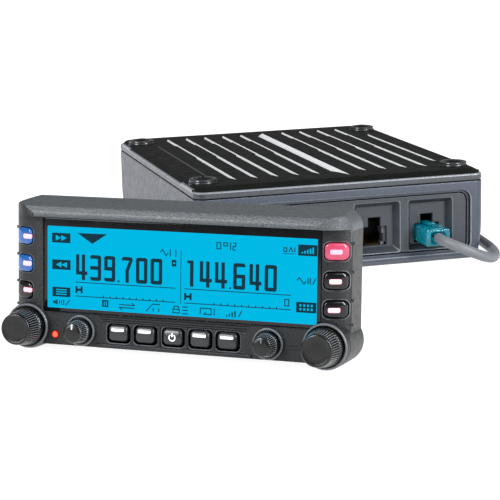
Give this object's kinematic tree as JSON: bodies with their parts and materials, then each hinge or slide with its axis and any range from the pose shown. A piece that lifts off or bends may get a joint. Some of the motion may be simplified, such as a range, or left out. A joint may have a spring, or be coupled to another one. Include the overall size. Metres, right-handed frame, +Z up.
{
  "type": "mobile transceiver",
  "caption": "Two-piece mobile transceiver: a remote control head with a wide display, keys and knobs, joined by a separation cable to a finned main unit.",
  "frame": {"origin": "middle of the footprint of the main unit and the control head, on the surface that they stand on; the cable is left out of this box", "axes": "+Z up, -Y the main unit's front with the jacks, +X to its right; the control head stands in front on the left, turned 35.6 degrees to face left and tilted back 6 degrees"},
  "size_m": [0.2611, 0.4303, 0.0565],
  "materials": {
    "chassis_paint": "fine textured blue-grey paint over die cast metal",
    "cover_paint": "satin near-black paint over a finned casting",
    "black_screw": "blackened steel",
    "steel": "bright plated steel",
    "panel_plastic": "fine grain moulded plastic",
    "black_plastic": "satin moulded plastic",
    "board": "glass fibre board",
    "module_metal": "plain metal",
    "head_case": "fine grain charcoal plastic",
    "rear_case": "fine grain charcoal plastic",
    "display_blue": "lit cyan display under a clear window",
    "knob_black": "knurled black plastic",
    "key_blue": "clear-coated blue key",
    "key_black": "gloss black key",
    "key_red": "gloss rose-red key",
    "lamp_red": "lit lamp",
    "plug_teal": "translucent teal moulded plug",
    "cable_grey": "matt grey cable jacket"
  },
  "bodies": {
    "root": {"main_chassis": "chassis_paint", "top_cover": "cover_paint", "front_panel": "panel_plastic", "mic_jack": "black_plastic", "control_jack": "black_plastic", "main_pcb": "board", "rf_power_module": "module_metal", "rf_shield": "module_metal", "loudspeaker": "black_plastic", "fan_frame": "black_plastic", "fan_guard": "steel", "antenna_connector": "steel", "dc_power_inlet": "black_plastic", "speaker_jack": "steel", "data_jack": "steel", "head_front_case": "head_case", "head_rear_case": "rear_case", "lcd_window": "display_blue", "lcd_module": "module_metal", "head_pcb": "board", "head_control_jack": "black_plastic", "status_led": "lamp_red", "encoder_left": "steel", "encoder_right": "steel", "volume_pot_left": "steel", "volume_pot_right": "steel", "cable_plug_main": "plug_teal", "cable_plug_head": "plug_teal", "cable_run_main": "cable_grey", "cable_run_head": "cable_grey", "cable_coil": "cable_grey", "cover_screw_1": "black_screw", "head_screw_1": "black_screw", "cover_screw_2": "black_screw", "head_screw_2": "black_screw", "cover_screw_3": "black_screw", "head_screw_3": "black_screw", "cover_screw_4": "black_screw", "head_screw_4": "black_screw"},
    "dial_knob_left": {"dial_knob_left": "knob_black"},
    "volume_knob_left": {"volume_knob_left": "knob_black"},
    "dial_knob_right": {"dial_knob_right": "knob_black"},
    "volume_knob_right": {"volume_knob_right": "knob_black"},
    "side_key_left_1": {"side_key_left_1": "key_blue"},
    "side_key_left_2": {"side_key_left_2": "key_blue"},
    "side_key_left_3": {"side_key_left_3": "key_black"},
    "side_key_right_1": {"side_key_right_1": "key_red"},
    "side_key_right_2": {"side_key_right_2": "key_black"},
    "side_key_right_3": {"side_key_right_3": "key_black"},
    "lower_key_1": {"lower_key_1": "key_black"},
    "lower_key_2": {"lower_key_2": "key_black"},
    "power_key": {"power_key": "key_black"},
    "lower_key_3": {"lower_key_3": "key_black"},
    "lower_key_4": {"lower_key_4": "key_black"},
    "fan_rotor": {"fan_rotor": "black_plastic"}
  },
  "joints": [
    {"name": "dial_knob_left_turn", "type": "hinge", "parent": "root", "child": "dial_knob_left", "pos_m": [-0.1118, -0.09464, 0.00969], "axis": [0.5787, 0.8087, -0.1054], "continuous": true},
    {"name": "volume_knob_left_turn", "type": "hinge", "parent": "root", "child": "volume_knob_left", "pos_m": [-0.09312, -0.10686, 0.00899], "axis": [0.5787, 0.8087, -0.1054], "range_deg": [-150, 150]},
    {"name": "dial_knob_right_turn", "type": "hinge", "parent": "root", "child": "dial_knob_right", "pos_m": [-0.0134, -0.16506, 0.00969], "axis": [0.5787, 0.8087, -0.1054], "continuous": true},
    {"name": "volume_knob_right_turn", "type": "hinge", "parent": "root", "child": "volume_knob_right", "pos_m": [-0.03099, -0.15132, 0.00899], "axis": [0.5787, 0.8087, -0.1054], "range_deg": [-150, 150]},
    {"name": "side_key_left_1_press", "type": "slide", "parent": "root", "child": "side_key_left_1", "axis": [0.5787, 0.8087, -0.1054], "range_m": [0, 0.0006], "stiffness_N_per_m": 600},
    {"name": "side_key_left_2_press", "type": "slide", "parent": "root", "child": "side_key_left_2", "axis": [0.5787, 0.8087, -0.1054], "range_m": [0, 0.0006], "stiffness_N_per_m": 600},
    {"name": "side_key_left_3_press", "type": "slide", "parent": "root", "child": "side_key_left_3", "axis": [0.5787, 0.8087, -0.1054], "range_m": [0, 0.0006], "stiffness_N_per_m": 600},
    {"name": "side_key_right_1_press", "type": "slide", "parent": "root", "child": "side_key_right_1", "axis": [0.5787, 0.8087, -0.1054], "range_m": [0, 0.0006], "stiffness_N_per_m": 600},
    {"name": "side_key_right_2_press", "type": "slide", "parent": "root", "child": "side_key_right_2", "axis": [0.5787, 0.8087, -0.1054], "range_m": [0, 0.0006], "stiffness_N_per_m": 600},
    {"name": "side_key_right_3_press", "type": "slide", "parent": "root", "child": "side_key_right_3", "axis": [0.5787, 0.8087, -0.1054], "range_m": [0, 0.0006], "stiffness_N_per_m": 600},
    {"name": "lower_key_1_press", "type": "slide", "parent": "root", "child": "lower_key_1", "axis": [0.5787, 0.8087, -0.1054], "range_m": [0, 0.0006], "stiffness_N_per_m": 600},
    {"name": "lower_key_2_press", "type": "slide", "parent": "root", "child": "lower_key_2", "axis": [0.5787, 0.8087, -0.1054], "range_m": [0, 0.0006], "stiffness_N_per_m": 600},
    {"name": "power_key_press", "type": "slide", "parent": "root", "child": "power_key", "axis": [0.5787, 0.8087, -0.1054], "range_m": [0, 0.0006], "stiffness_N_per_m": 600},
    {"name": "lower_key_3_press", "type": "slide", "parent": "root", "child": "lower_key_3", "axis": [0.5787, 0.8087, -0.1054], "range_m": [0, 0.0006], "stiffness_N_per_m": 600},
    {"name": "lower_key_4_press", "type": "slide", "parent": "root", "child": "lower_key_4", "axis": [0.5787, 0.8087, -0.1054], "range_m": [0, 0.0006], "stiffness_N_per_m": 600},
    {"name": "fan_spin", "type": "hinge", "parent": "root", "child": "fan_rotor", "pos_m": [0.02536, 0.15144, 0.02], "axis": [0, 1, 0], "continuous": true}
  ]
}
